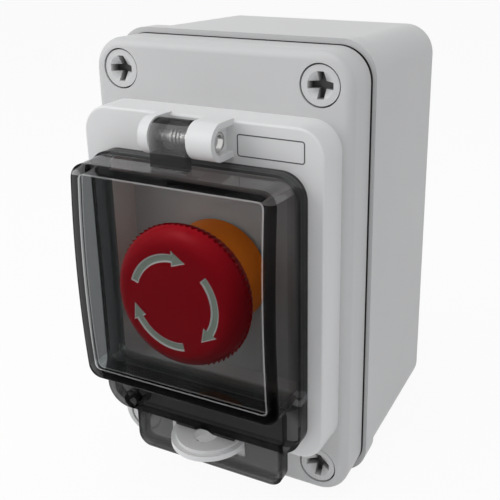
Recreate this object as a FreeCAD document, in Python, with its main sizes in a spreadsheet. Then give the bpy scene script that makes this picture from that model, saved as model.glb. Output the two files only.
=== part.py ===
import FreeCAD, Part
import Sketcher
import math
import os
import re

# Emergency stop button box: a two-part wall enclosure, a raised front frame with a sprung smoked
# cover, and a 22 mm twist-to-release mushroom button with two contact blocks behind it.
# Millimetres. The origin is the centre of the back face, which lies on the wall. +X is right,
# +Z is up, and the front looks along -Y, so "depth" below is a distance from the wall.

os.makedirs("parts", exist_ok=True)
doc = FreeCAD.newDocument("stop_button_box")
Vector = FreeCAD.Vector

# Driving dimensions, one cell each
SIZES = {
    # enclosure
    "base_width": 79.0, "base_height": 129.4, "base_radius": 9.0, "wall": 3.0, "box_depth": 67.0,
    "rim_step": 0.8, "rim_depth": 6.4, "seam_gap": 0.8, "gasket_width": 2.2, "gasket_inset": 1.1,
    "lid_width": 78.0, "lid_height": 127.6, "lid_radius": 9.0, "lid_depth": 12.1, "lid_edge": 2.5,
    "mount_pitch_x": 46.0, "mount_pitch_z": 96.0, "mount_hole_dia": 4.5,
    # lid screws and their pillars
    "screw_pitch_x": 60.2, "screw_pitch_z": 110.6, "screw_head_dia": 10.4, "screw_head_depth": 4.0,
    "screw_sink": 0.3, "screw_gap": 0.42, "screw_shank_dia": 5.0, "screw_length": 26.0, "pillar_dia": 13.6,
    "screw_cross_width": 1.9, "screw_cross_span": 7.0, "screw_cross_depth": 3.4,
    "screw_dish_dia": 7.2, "screw_dish_floor_dia": 2.4, "screw_dish_depth": 1.8,
    # raised front frame, its seals and screws
    "panel_width": 72.7, "panel_top": 47.1, "panel_bottom": 46.4, "panel_radius": 8.0,
    "panel_depth": 9.6, "panel_draft": 2.4, "panel_edge": 0.7,
    "recess_width": 56.4, "recess_top": 32.6, "recess_bottom": 29.3, "recess_radius": 4.0,
    "seal_width": 1.8, "seal_depth": 1.2, "panel_seal_inset": 1.6, "cover_seal_out": 1.0,
    "panel_screw_x": 22.0, "panel_screw_top": 41.0, "panel_screw_bottom": 38.0, "panel_screw_dia": 3.0,
    "panel_screw_head_dia": 5.6, "panel_screw_head_depth": 2.0, "panel_screw_reach": 6.0,
    # hinge
    "hinge_out": 5.3, "hinge_height": 42.3, "knuckle_radius": 4.9, "knuckle_left_end": 10.4,
    "knuckle_cap": 0.9, "knuckle_right_end": 10.9, "pocket_depth": 1.9, "pocket_radius": 3.3,
    "pin_dia": 3.0, "pin_head_dia": 5.2, "pin_head_depth": 1.1, "pin_hollow_dia": 3.6,
    "pin_hollow_depth": 0.7, "arm_left": 7.2, "arm_right": 3.4,
    "arm_radius": 4.6, "arm_plate": 2.4, "spigot_length": 0.9, "spigot_radius": 3.2,
    "spring_room": 7.0, "spring_wire": 0.6, "spring_turns": 5.0,
    # padlock lug
    "lug_radius": 11.4, "lug_set_back": 1.0, "lug_top": 46.4, "lug_thickness": 2.4, "lug_root": 2.0,
    "lug_rim_width": 1.5, "lug_rim_step": 0.8, "lug_hole_dia": 6.8, "lug_hole_out": 1.9,
    # smoked cover
    "flange_width": 63.2, "flange_top": 35.8, "flange_bottom": 42.6, "flange_radius": 7.1,
    "flange_thickness": 4.2, "flange_plate": 1.4, "pad_width": 51.0,
    "dome_width": 60.4, "dome_top": 34.9, "dome_bottom": 28.4, "dome_radius": 4.4, "dome_rise": 11.2,
    "dome_bow": 1.6, "dome_draft": 3.0, "dome_wall": 2.6, "window_thickness": 1.5, "dome_edge": 1.4,
    "apron_width": 48.6, "apron_drop": 57.0, "apron_plate": 0.9, "apron_return": 3.4,
    "apron_return_wall": 1.8, "apron_radius": 4.0, "slot_side": 1.0, "slot_above": 0.8, "slot_below": 1.6,
    "lip_width": 19.0, "lip_height": 1.7, "lip_out": 1.4, "arch_radius": 4.2, "arch_height": 1.4,
    "boss_left": 22.1, "boss_down": 38.7, "boss_dia": 5.4, "boss_bore": 3.0, "boss_out": 1.4,
    # button body
    "button_rise": 0.8, "barrel_dia": 22.0, "barrel_bore": 15.2, "barrel_out": 0.7,
    "barrel_tail": 16.0, "barrel_head_dia": 25.6, "barrel_head_depth": 1.8, "barrel_shoulder": 2.0,
    "collar_dia": 30.6, "collar_taper": 0.5, "collar_out": 0.9,
    "button_gasket_depth": 1.0, "button_gasket_dia": 29.0,
    "nut_dia": 30.0, "nut_depth": 4.0,
    # mushroom cap, its arrows and its stem
    "cap_dia": 38.8, "cap_gap": 0.8, "cap_round": 5.2, "cap_grip": 5.6, "cap_depth": 10.0,
    "cap_skirt_dia": 34.4, "cap_cavity_dia": 32.0, "cap_roof": 6.4,
    "hub_dia": 13.6, "arrow_radius": 12.3, "arrow_width": 2.3, "arrow_head_width": 4.4,
    "arrow_sweep": 72.0, "arrow_head_sweep": 20.0, "arrow_start": 162.0, "arrow_groove": 0.7,
    "arrow_fill": 0.4, "stem_dia": 8.0, "stem_roof": 4.0, "guide_depth": 4.0, "guide_inset": 7.3,
    "pusher_dia": 19.0, "pusher_depth": 2.2, "push_travel": 5.0,
    "return_wire": 1.0, "return_turns": 4.0,
    # contacts
    "carrier_width": 30.0, "carrier_height": 40.0, "carrier_depth": 19.5, "carrier_gap": 0.5,
    "block_width": 10.0, "block_pitch": 12.4, "block_depth": 26.0, "block_wall": 1.2,
    "plunger_width": 5.0, "plunger_height": 6.0, "plunger_reach": 15.0, "bridge_width": 4.0,
    "bridge_length": 24.0, "bridge_thickness": 1.2, "terminal_width": 6.0, "terminal_length": 10.5,
    "terminal_thickness": 1.4, "terminal_screw_inset": 4.8, "terminal_screw_dia": 3.0,
    "terminal_head_dia": 5.2, "terminal_head_depth": 1.8, "contact_wire": 0.6, "contact_turns": 2.0,
    "contact_spring_dia": 5.0,
    # clearances: a turning or screwed fit, parts that pass each other, and a contact's rest gap
    "running": 0.05, "slide": 0.3, "push_gap": 0.1,
}
sheet = doc.addObject("Spreadsheet::Sheet", "dims")
for row, (alias, value) in enumerate(SIZES.items(), 1):
    sheet.set(f"A{row}", alias)
    sheet.set(f"B{row}", str(value))
    sheet.setAlias(f"B{row}", alias)
working = doc.addObject("Spreadsheet::Sheet", "working")
doc.recompute()

SIDES = (-1, 1)
# Turns that carry a primitive's own Z axis to the front, and to the right
TO_FRONT = FreeCAD.Rotation(Vector(1, 0, 0), 90)
TO_RIGHT = FreeCAD.Rotation(Vector(0, 1, 0), 90)


def cells(text):
    """An expression over plain names, written as references to the sheet."""
    return re.sub(r"[a-z][a-z_]+", lambda word: f"dims.{word[0]}" if word[0] in SIZES else word[0], text)


def size(text):
    """The same expression as a number, for shapes that take no expression."""
    working.set("A1", f"={cells(text)}")
    working.recompute()
    return float(working.get("A1"))


def bind(thing, **expressions):
    for prop, text in expressions.items():
        thing.setExpression(prop, cells(text))
    return thing


def place(thing, x="0", depth="0", z="0", rotation=None):
    if rotation:
        thing.Placement = FreeCAD.Placement(Vector(), rotation)
    for axis, text in (("x", x), ("y", f"-({depth})"), ("z", z)):
        thing.setExpression(f"Placement.Base.{axis}", cells(text))
    return thing


def rod(name, diameter, depths, x="0", z="0"):
    """A cylinder along the depth, between two distances from the wall."""
    back, front = depths
    thing = doc.addObject("Part::Cylinder", name)
    bind(thing, Radius=f"({diameter}) / 2", Height=f"({front}) - ({back})")
    return place(thing, x, back, z, TO_FRONT)


def cross_rod(name, radius, across, depth, z):
    """A cylinder along X, between two places across."""
    left, right = across
    thing = doc.addObject("Part::Cylinder", name)
    bind(thing, Radius=radius, Height=f"({right}) - ({left})")
    return place(thing, left, depth, z, TO_RIGHT)


def post(name, diameter, depth, heights):
    """An upright cylinder on the middle plane."""
    low, high = heights
    thing = doc.addObject("Part::Cylinder", name)
    bind(thing, Radius=f"({diameter}) / 2", Height=f"({high}) - ({low})")
    return place(thing, depth=depth, z=low)


def block(name, across, depths, heights):
    (left, right), (back, front), (low, high) = across, depths, heights
    thing = doc.addObject("Part::Box", name)
    bind(thing, Length=f"({right}) - ({left})", Width=f"({front}) - ({back})", Height=f"({high}) - ({low})")
    return place(thing, left, front, low)


def centred(middle, width):
    """The two ends of a width about a middle."""
    return f"({middle}) - ({width}) / 2", f"({middle}) + ({width}) / 2"


def fuse(name, *things):
    thing = doc.addObject("Part::MultiFuse", name)
    thing.Shapes = list(things)
    return thing


def cut(name, base, *tools):
    thing = doc.addObject("Part::Cut", name)
    thing.Base = base
    thing.Tool = tools[0] if len(tools) == 1 else fuse(f"{name}_tools", *tools)
    return thing


def common(name, base, tool):
    thing = doc.addObject("Part::Common", name)
    thing.Base = base
    thing.Tool = tool
    return thing


def group(name, things):
    thing = doc.addObject("Part::Compound", name)
    thing.Links = things
    return thing


def origin_part(body, role):
    return next(item for item in body.Origin.OriginFeatures if item.Role == role)


def sketch_on(body, name, role, depth):
    sketch = body.newObject("Sketcher::SketchObject", name)
    sketch.AttachmentSupport = (origin_part(body, role), [""])
    sketch.MapMode = "FlatFace"
    bind(sketch, **{"AttachmentOffset.Base.z": depth})
    return sketch


def hold(sketch, label, constraint, text):
    """Adds a constraint to a sketch and binds its size."""
    index = sketch.addConstraint(constraint)
    sketch.renameConstraint(index, label)
    bind(sketch, **{f"Constraints.{label}": text})


def rounded_sketch(body, name, depth, half, heights, radius):
    """A rounded rectangle that faces the front, half wide each way, between two heights."""
    sketch = sketch_on(body, name, "XZ_Plane", depth)
    low, high = heights
    across, bottom, top, corner = size(half), size(low), size(high), size(radius)
    inner, inner_low, inner_high = across - corner, bottom + corner, top - corner
    runs = [((-inner, bottom), (inner, bottom)), ((across, inner_low), (across, inner_high)),
            ((inner, top), (-inner, top)), ((-across, inner_high), (-across, inner_low))]
    for start, end in runs:
        sketch.addGeometry(Part.LineSegment(Vector(*start, 0), Vector(*end, 0)), False)
    centres = [(inner, inner_low), (inner, inner_high), (-inner, inner_high), (-inner, inner_low)]
    quarter = math.pi / 2
    for turn, centre in enumerate(centres, -1):
        circle = Part.Circle(Vector(*centre, 0), Vector(0, 0, 1), corner)
        sketch.addGeometry(Part.ArcOfCircle(circle, turn * quarter, (turn + 1) * quarter), False)
    lines, arcs = range(4), range(4, 8)
    for line, arc in zip(lines, arcs):
        sketch.addConstraint(Sketcher.Constraint("Tangent", line, 2, arc, 1))
        sketch.addConstraint(Sketcher.Constraint("Tangent", arc, 2, (line + 1) % 4, 1))
        sketch.addConstraint(Sketcher.Constraint("Vertical" if line % 2 else "Horizontal", line))
    for arc in arcs[1:]:
        sketch.addConstraint(Sketcher.Constraint("Equal", arcs[0], arc))
    hold(sketch, "low", Sketcher.Constraint("DistanceY", -1, 1, 0, 1, bottom), low)
    hold(sketch, "right", Sketcher.Constraint("DistanceX", -1, 1, 1, 1, across), half)
    hold(sketch, "high", Sketcher.Constraint("DistanceY", -1, 1, 2, 1, top), high)
    hold(sketch, "left", Sketcher.Constraint("DistanceX", -1, 1, 3, 1, -across), f"-({half})")
    hold(sketch, "radius", Sketcher.Constraint("Radius", arcs[0], corner), radius)
    return sketch


def slab(name, depths, half, heights, radius, draft="0"):
    """A rounded rectangle padded between two depths, and narrowed by the draft angle."""
    back, front = depths
    body = doc.addObject("PartDesign::Body", name)
    pad = body.newObject("PartDesign::Pad", f"{name}_pad")
    pad.Profile = rounded_sketch(body, f"{name}_outline", back, half, heights, radius)
    bind(pad, Length=f"({front}) - ({back})", TaperAngle=f"-({draft})")
    doc.recompute()
    return body


def round_front(body, depth, radius):
    """Rounds the edges of a body's front face."""
    solid, front = body.Tip, -size(depth)
    on_front = [f"Edge{index}" for index, edge in enumerate(solid.Shape.Edges, 1)
                if all(math.isclose(end.Point.y, front, abs_tol=1e-4) for end in edge.Vertexes)]
    fillet = body.newObject("PartDesign::Fillet", f"{body.Name}_edge")
    fillet.Base = (solid, on_front)
    bind(fillet, Radius=radius)
    doc.recompute()


def frame_ring(name, depths, half, heights, radius, width):
    """A flat rectangular seal with rounded corners."""
    low, high = heights
    outer = slab(f"{name}_outer", depths, half, heights, radius)
    window = slab(f"{name}_window", depths, f"{half} - {width}", (f"{low} + {width}", f"{high} - {width}"),
                  f"{radius} - {width}")
    return cut(name, outer, window)


def turned(name, corners, z):
    """A body turned about the depth axis from (radius, depth) corners of its half profile."""
    body = doc.addObject("PartDesign::Body", name)
    sketch = sketch_on(body, f"{name}_profile", "YZ_Plane", "0")
    spots = [Vector(-size(depth), size(radius), 0) for radius, depth in corners]
    for spot, after in zip(spots, spots[1:] + spots[:1]):
        sketch.addGeometry(Part.LineSegment(spot, after), False)
    for index, (radius, depth) in enumerate(corners):
        spot = spots[index]
        sketch.addConstraint(Sketcher.Constraint("Coincident", index, 2, (index + 1) % len(corners), 1))
        along = Sketcher.Constraint("DistanceX", -1, 1, index, 1, spot.x)
        hold(sketch, f"depth{index}", along, f"-({depth})")
        if radius == "0":
            sketch.addConstraint(Sketcher.Constraint("PointOnObject", index, 1, -1))
        else:
            outward = Sketcher.Constraint("DistanceY", -1, 1, index, 1, spot.y)
            hold(sketch, f"radius{index}", outward, radius)
    turn = body.newObject("PartDesign::Revolution", f"{name}_turn")
    turn.Profile = sketch
    turn.ReferenceAxis = (origin_part(body, "Y_Axis"), [""])
    turn.Angle = 360
    doc.recompute()
    return place(body, z=z)


def coil(name, mean_radius, wire, turns, length):
    """A coil spring of square wire along its own Z axis, with the wire inside the length."""
    mean, thick, count = size(mean_radius), size(wire), size(turns)
    rise = size(length) - thick
    helix = Part.makeHelix(rise / count, rise, mean)
    corners = [Vector(mean + i * thick / 2, 0, k * thick / 2)
               for i, k in ((-1, -1), (1, -1), (1, 1), (-1, 1))]
    section = Part.makePolygon(corners + corners[:1])
    thing = doc.addObject("Part::Feature", name)
    thing.Shape = Part.Wire(helix.Edges).makePipeShell([section], True, True)
    return thing


# Rear half of the enclosure: a rounded box with a proud rim at its mouth, corner pillars for the lid
# screws, and four wall fixing holes in its floor
RIM_FRONT = "(box_depth - lid_depth - seam_gap)"
HALF_BASE_X, HALF_BASE_Z = "base_width / 2", "base_height / 2"
BASE_OUTLINE = (HALF_BASE_X, (f"-{HALF_BASE_Z}", HALF_BASE_Z), "base_radius")
base_block = slab("base_block", ("0", RIM_FRONT), *BASE_OUTLINE)
base_rim = slab("base_rim", (f"{RIM_FRONT} - rim_depth", RIM_FRONT), f"{HALF_BASE_X} + rim_step",
                (f"-{HALF_BASE_Z} - rim_step", f"{HALF_BASE_Z} + rim_step"), "base_radius + rim_step")
base_hollow = slab("base_hollow", ("wall", RIM_FRONT), f"{HALF_BASE_X} - wall",
                   (f"wall - {HALF_BASE_Z}", f"{HALF_BASE_Z} - wall"), "base_radius - wall")
CORNERS = [(f"{i} * screw_pitch_x / 2", f"{k} * screw_pitch_z / 2") for i in SIDES for k in SIDES]
SCREW_SEAT = "(box_depth - screw_sink - screw_head_depth)"
SCREW_TIP = f"({SCREW_SEAT} - screw_length)"
pillars = [rod(f"pillar{n}", "pillar_dia", ("wall / 2", RIM_FRONT), *spot)
           for n, spot in enumerate(CORNERS)]
pilots = [rod(f"pilot{n}", "screw_shank_dia + 2 * running", (f"{SCREW_TIP} - slide", RIM_FRONT), *spot)
          for n, spot in enumerate(CORNERS)]
FIXINGS = [(f"{i} * mount_pitch_x / 2", f"{k} * mount_pitch_z / 2") for i in SIDES for k in SIDES]
fixing_holes = [rod(f"fixing{n}", "mount_hole_dia", ("0", "wall"), *spot) for n, spot in enumerate(FIXINGS)]
base_envelope = slab("base_envelope", ("0", RIM_FRONT), *BASE_OUTLINE)
base_pillars = common("base_pillars", fuse("pillar_rods", *pillars), base_envelope)
base_shell = cut("base_shell", fuse("base_solid", base_block, base_rim), base_hollow)
cut("base_box", fuse("base_moulding", base_shell, base_pillars), *pilots, *fixing_holes)

# Sealing cord in the seam, set in from the outer edge so that the seam shows as a dark groove
HALF_LID_X, HALF_LID_Z = "lid_width / 2", "lid_height / 2"
LID_BACK = f"({RIM_FRONT} + seam_gap)"
frame_ring("lid_gasket", (RIM_FRONT, LID_BACK), f"{HALF_LID_X} - gasket_inset",
           (f"gasket_inset - {HALF_LID_Z}", f"{HALF_LID_Z} - gasket_inset"), "lid_radius - gasket_inset",
           "gasket_width")

# Shallow front half: a rounded front edge, corner bosses with counterbores, and the button's hole
LID_OUTLINE = (HALF_LID_X, (f"-{HALF_LID_Z}", HALF_LID_Z), "lid_radius")
LID_INSIDE = "(box_depth - wall)"
lid_block = slab("lid_block", (LID_BACK, "box_depth"), *LID_OUTLINE)
round_front(lid_block, "box_depth", "lid_edge")
lid_hollow = slab("lid_hollow", (LID_BACK, LID_INSIDE), f"{HALF_LID_X} - wall",
                  (f"wall - {HALF_LID_Z}", f"{HALF_LID_Z} - wall"), "lid_radius - wall")
bosses = [rod(f"lid_boss{n}", "pillar_dia", (LID_BACK, "box_depth - wall / 2"), *spot)
          for n, spot in enumerate(CORNERS)]
lid_envelope = slab("lid_envelope", (LID_BACK, "box_depth"), *LID_OUTLINE)
lid_bosses = common("lid_bosses", fuse("boss_rods", *bosses), lid_envelope)
PANEL_LEVELS = ("panel_screw_top", "-panel_screw_bottom")
PANEL_FIXINGS = [(f"{i} * panel_screw_x", level) for i in SIDES for level in PANEL_LEVELS]
lid_holes = [rod("barrel_hole", "barrel_dia + 2 * slide", (LID_INSIDE, "box_depth"), z="button_rise")]
COUNTERBORE_DIA = "screw_head_dia + 2 * screw_gap"
for n, spot in enumerate(CORNERS):
    lid_holes.append(rod(f"counterbore{n}", COUNTERBORE_DIA, (SCREW_SEAT, "box_depth"), *spot))
    lid_holes.append(rod(f"shank_hole{n}", "screw_shank_dia + 2 * slide", (LID_BACK, SCREW_SEAT), *spot))
for n, spot in enumerate(PANEL_FIXINGS):
    lid_holes.append(rod(f"panel_hole{n}", "panel_screw_dia + 2 * slide", (LID_INSIDE, "box_depth"), *spot))
lid_shell = cut("lid_shell", lid_block, lid_hollow)
cut("lid", fuse("lid_moulding", lid_shell, lid_bosses), *lid_holes)

# Four plastic lid screws, each head dished round a deep cross recess
HEAD_FRONT = "(box_depth - screw_sink)"
CROSS_DEPTHS = (f"{HEAD_FRONT} - screw_cross_depth", HEAD_FRONT)
screws = []
for n, (x, z) in enumerate(CORNERS):
    head = rod(f"screw_head{n}", "screw_head_dia", (SCREW_SEAT, HEAD_FRONT), x, z)
    shank = rod(f"screw_shank{n}", "screw_shank_dia", (SCREW_TIP, SCREW_SEAT), x, z)
    level = block(f"cross_level{n}", centred(x, "screw_cross_span"), CROSS_DEPTHS,
                  centred(z, "screw_cross_width"))
    upright = block(f"cross_upright{n}", centred(x, "screw_cross_width"), CROSS_DEPTHS,
                    centred(z, "screw_cross_span"))
    dish = doc.addObject("Part::Cone", f"screw_dish{n}")
    bind(dish, Radius1="screw_dish_floor_dia / 2", Radius2="screw_dish_dia / 2", Height="screw_dish_depth")
    place(dish, x, f"{HEAD_FRONT} - screw_dish_depth", z, TO_FRONT)
    screws.append(cut(f"lid_screw{n}", fuse(f"screw_blank{n}", head, shank), level, upright, dish))
group("lid_screws", screws)

# Raised front frame: drafted sides, the button's recess, two hinge knuckles and the padlock lug below
PANEL_FRONT = "(box_depth + panel_depth)"
HALF_PANEL = "panel_width / 2"
panel_block = slab("panel_block", ("box_depth", PANEL_FRONT), HALF_PANEL, ("-panel_bottom", "panel_top"),
                   "panel_radius", "panel_draft")
round_front(panel_block, PANEL_FRONT, "panel_edge")
panel_recess = slab("panel_recess", ("box_depth", PANEL_FRONT), "recess_width / 2",
                    ("-recess_bottom", "recess_top"), "recess_radius")
HINGE_DEPTH = f"({PANEL_FRONT} + hinge_out)"
HINGE_LINE = (HINGE_DEPTH, "hinge_height")
KNUCKLE_HEIGHTS = ("hinge_height - knuckle_radius", "hinge_height + knuckle_radius")
KNUCKLE_SPANS = [("-knuckle_left_end", "-arm_left - slide"), ("arm_right + slide", "knuckle_right_end")]
SPIGOT_SPAN = ("arm_right - spigot_length + slide", "knuckle_right_end")
KNUCKLE_ROOT = (f"{PANEL_FRONT} - panel_edge", HINGE_DEPTH)
knuckles = [cross_rod("knuckle_spigot", "spigot_radius", SPIGOT_SPAN, *HINGE_LINE)]
for n, span in enumerate(KNUCKLE_SPANS):
    knuckles.append(cross_rod(f"knuckle{n}", "knuckle_radius", span, *HINGE_LINE))
    knuckles.append(block(f"knuckle_root{n}", span, KNUCKLE_ROOT, KNUCKLE_HEIGHTS))
POCKET_SPAN = ("knuckle_right_end - pocket_depth", "knuckle_right_end")
POCKET_HEIGHTS = ("hinge_height - pocket_radius", "hinge_height + pocket_radius")
PIN_START = "(knuckle_cap - knuckle_left_end)"
pin_bore = cross_rod("pin_bore", "pin_dia / 2 + running", (PIN_START, "knuckle_right_end"), *HINGE_LINE)
POCKET_DEPTHS = (PANEL_FRONT, HINGE_DEPTH)
pocket = fuse("pocket", cross_rod("pocket_round", "pocket_radius", POCKET_SPAN, *HINGE_LINE),
              block("pocket_mouth", POCKET_SPAN, POCKET_DEPTHS, POCKET_HEIGHTS))
LUG_CENTRE = f"({PANEL_FRONT} - lug_set_back)"
LUG_UNDER = "(-lug_top - lug_thickness)"
LUG_RIM_TOP = "(-lug_top - lug_rim_step)"
LUG_HALF = ("-lug_radius", "lug_radius")
lug_disc = fuse("lug_disc", post("lug_rim", "2 * lug_radius", LUG_CENTRE, (LUG_UNDER, LUG_RIM_TOP)),
                post("lug_face", "2 * (lug_radius - lug_rim_width)", LUG_CENTRE, (LUG_UNDER, "-lug_top")))
lug_keep = block("lug_keep", LUG_HALF, (LUG_CENTRE, f"{LUG_CENTRE} + lug_radius"), (LUG_UNDER, "-lug_top"))
lug_root = block("lug_stem", LUG_HALF, ("box_depth", LUG_CENTRE), (LUG_UNDER, "-panel_bottom + lug_root"))
lug_hole = post("lug_hole", "lug_hole_dia", f"{PANEL_FRONT} + lug_hole_out", (LUG_UNDER, "-lug_top"))
PANEL_SEAL = (("box_depth", "box_depth + seal_depth"), f"{HALF_PANEL} - panel_seal_inset",
              ("panel_seal_inset - panel_bottom", "panel_top - panel_seal_inset"),
              "panel_radius - panel_seal_inset", "seal_width")
COVER_SEAL_OUT = "(cover_seal_out + seal_width)"
COVER_SEAL = ((f"{PANEL_FRONT} - seal_depth", PANEL_FRONT), f"recess_width / 2 + {COVER_SEAL_OUT}",
              (f"-recess_bottom - {COVER_SEAL_OUT}", f"recess_top + {COVER_SEAL_OUT}"),
              f"recess_radius + {COVER_SEAL_OUT}", "seal_width")
grooves = [frame_ring("panel_groove", *PANEL_SEAL), frame_ring("cover_groove", *COVER_SEAL)]
PANEL_PILOT = ("box_depth", "box_depth + panel_screw_reach + slide")
panel_pilots = [rod(f"panel_pilot{n}", "panel_screw_dia + 2 * running", PANEL_PILOT, *spot)
                for n, spot in enumerate(PANEL_FIXINGS)]
lug_front = common("lug_front", lug_disc, lug_keep)
panel_moulding = fuse("panel_moulding", panel_block, lug_front, lug_root, *knuckles)
cut("front_panel", panel_moulding, panel_recess, pin_bore, pocket, lug_hole, *grooves, *panel_pilots)

# Seals in the frame's two grooves, and the screws that hold the frame from inside the lid
frame_ring("panel_seal", *PANEL_SEAL)
frame_ring("cover_seal", *COVER_SEAL)
PANEL_HEAD = (f"{LID_INSIDE} - panel_screw_head_depth", LID_INSIDE)
PANEL_SHANK = (LID_INSIDE, "box_depth + panel_screw_reach")
panel_screws = []
for n, spot in enumerate(PANEL_FIXINGS):
    head = rod(f"panel_screw_head{n}", "panel_screw_head_dia", PANEL_HEAD, *spot)
    shank = rod(f"panel_screw_shank{n}", "panel_screw_dia", PANEL_SHANK, *spot)
    panel_screws.append(fuse(f"panel_screw{n}", head, shank))
group("panel_screws", panel_screws)

# Hinge pin with its hollow head in the right knuckle's pocket, and the torsion spring round it
PIN_SEAT = POCKET_SPAN[0]
PIN_END = f"({PIN_SEAT} + pin_head_depth)"
pin_blank = fuse("pin_blank", cross_rod("pin_shank", "pin_dia / 2", (PIN_START, PIN_SEAT), *HINGE_LINE),
                 cross_rod("pin_head", "pin_head_dia / 2", (PIN_SEAT, PIN_END), *HINGE_LINE))
PIN_HOLLOW = (f"{PIN_END} - pin_hollow_depth", PIN_END)
cut("hinge_pin", pin_blank, cross_rod("pin_hollow", "pin_hollow_dia / 2", PIN_HOLLOW, *HINGE_LINE))
hinge_spring = coil("hinge_spring", "pin_dia / 2 + slide + spring_wire / 2", "spring_wire", "spring_turns",
                    "spring_room - spigot_length - slide")
place(hinge_spring, "arm_right - spring_room + slide + spring_wire / 2", *HINGE_LINE, TO_RIGHT)

# Smoked cover: a flange cored out behind its lower corners, a dome with a bowed front, and the hinge arm
# with room for the spring
COVER_BACK = f"({PANEL_FRONT} + slide)"
FLANGE_FRONT = f"({COVER_BACK} + flange_thickness)"
DOME_FRONT = f"({FLANGE_FRONT} + dome_rise)"
flange = slab("flange", (COVER_BACK, FLANGE_FRONT), "flange_width / 2", ("-flange_bottom", "flange_top"),
              "flange_radius")
UNDER_DOME = "(-dome_bottom - dome_wall)"
UNDER_SPAN = ("flange_plate - flange_bottom", UNDER_DOME)
flange_hollow = slab("flange_hollow", (COVER_BACK, f"{FLANGE_FRONT} - flange_plate"),
                     "flange_width / 2 - flange_plate", UNDER_SPAN, "apron_radius")
flange_pad = block("flange_pad", centred("0", "pad_width"), (COVER_BACK, FLANGE_FRONT), UNDER_SPAN)
flange_cores = cut("flange_cores", flange_hollow, flange_pad)
dome_block = slab("dome_block", (FLANGE_FRONT, DOME_FRONT), "dome_width / 2", ("-dome_bottom", "dome_top"),
                  "dome_radius", "dome_draft")
dome_room = slab("dome_room", (COVER_BACK, DOME_FRONT), "dome_width / 2 - dome_wall",
                 ("dome_wall - dome_bottom", "dome_top - dome_wall"), "dome_radius - dome_wall",
                 "dome_draft")
DOME_MIDDLE = "((dome_top - dome_bottom) / 2)"
HALF_DOME = "((dome_top + dome_bottom) / 2)"
BOW_RADIUS = f"(({HALF_DOME} ^ 2 + dome_bow ^ 2) / (2 * dome_bow))"
BOW_LINE = (f"{DOME_FRONT} - {BOW_RADIUS}", DOME_MIDDLE)
DOME_SPAN = ("-dome_width", "dome_width")
dome_bowed = common("dome_bowed", dome_block, cross_rod("dome_bow_front", BOW_RADIUS, DOME_SPAN, *BOW_LINE))
doc.recompute()
window_face = min(dome_bowed.Shape.Faces, key=lambda face: face.CenterOfMass.y)
window_edges = [number for number, edge in enumerate(dome_bowed.Shape.Edges, 1)
                if any(edge.isSame(side) for side in window_face.Edges)]
dome = doc.addObject("Part::Fillet", "dome")
dome.Base = dome_bowed
dome.Edges = [(number, size("dome_edge"), size("dome_edge")) for number in window_edges]
dome_space = common("dome_space", dome_room,
                    cross_rod("dome_bow_inside", f"{BOW_RADIUS} - window_thickness", DOME_SPAN, *BOW_LINE))
ARM_FRONT = f"({HINGE_DEPTH} + arm_radius)"
arm_barrel = cross_rod("arm_barrel", "arm_radius", ("-arm_left", "arm_right - spigot_length"), *HINGE_LINE)
arm_web = block("arm_web", ("-arm_left", "arm_right"), (f"{ARM_FRONT} - arm_plate", ARM_FRONT),
                ("dome_top - dome_wall", "hinge_height"))
arm_bore = cross_rod("arm_bore", "pin_dia / 2 + running", ("-arm_left", "arm_right"), *HINGE_LINE)
ROOM_SPAN = ("arm_right - spring_room", "arm_right")
arm_room = cross_rod("arm_room", "spigot_radius + slide", ROOM_SPAN, *HINGE_LINE)

# Apron under the cover, with side returns, the lug's slot and a lip over it arched for a shackle
APRON_FRONT = f"({COVER_BACK} + apron_plate)"
APRON_BACK = f"({APRON_FRONT} - apron_return)"
HALF_APRON = "apron_width / 2"
SLOT_LOW, SLOT_HIGH = f"({LUG_UNDER} - slot_below)", "(-lug_top + slot_above)"
APRON_OUTLINE = (HALF_APRON, ("-apron_drop", UNDER_DOME), "apron_radius")
apron_face = slab("apron_face", (COVER_BACK, APRON_FRONT), *APRON_OUTLINE)
apron_tray = slab("apron_tray", (APRON_BACK, APRON_FRONT), *APRON_OUTLINE)
apron_room = slab("apron_room", (APRON_BACK, COVER_BACK), f"{HALF_APRON} - apron_return_wall",
                  ("apron_return_wall - apron_drop", UNDER_DOME), "apron_radius - apron_return_wall")
frame_room = block("frame_room", centred("0", "apron_width"), (APRON_BACK, COVER_BACK),
                   ("-panel_bottom - slide", UNDER_DOME))
apron_returns = cut("apron_returns", apron_tray, apron_room, frame_room)
lug_slot = block("lug_slot", centred("0", "2 * (lug_radius + slot_side)"), (COVER_BACK, APRON_FRONT),
                 (SLOT_LOW, SLOT_HIGH))
LIP_LINE = (f"{APRON_FRONT} + lip_out - lip_height / 2", f"{SLOT_HIGH} + lip_height / 2")
slot_lip = fuse("slot_lip", cross_rod("lip_round", "lip_height / 2", centred("0", "lip_width"), *LIP_LINE),
                block("lip_root", centred("0", "lip_width"), (COVER_BACK, LIP_LINE[0]),
                      (SLOT_HIGH, f"{SLOT_HIGH} + lip_height")))
shackle_arch = rod("shackle_arch", "2 * arch_radius", (COVER_BACK, f"{APRON_FRONT} + lip_out"),
                   z=f"{SLOT_HIGH} + arch_height - arch_radius")
boss = ((COVER_BACK, f"{FLANGE_FRONT} + boss_out"), "-boss_left", "-boss_down")
cover_moulding = fuse("cover_moulding", flange, dome, arm_barrel, arm_web, apron_face, apron_returns,
                      slot_lip, rod("cover_boss", "boss_dia", *boss))
cut("flip_cover", cover_moulding, flange_cores, dome_space, arm_bore, arm_room, lug_slot, shackle_arch,
    rod("cover_boss_bore", "boss_bore", *boss))

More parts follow.
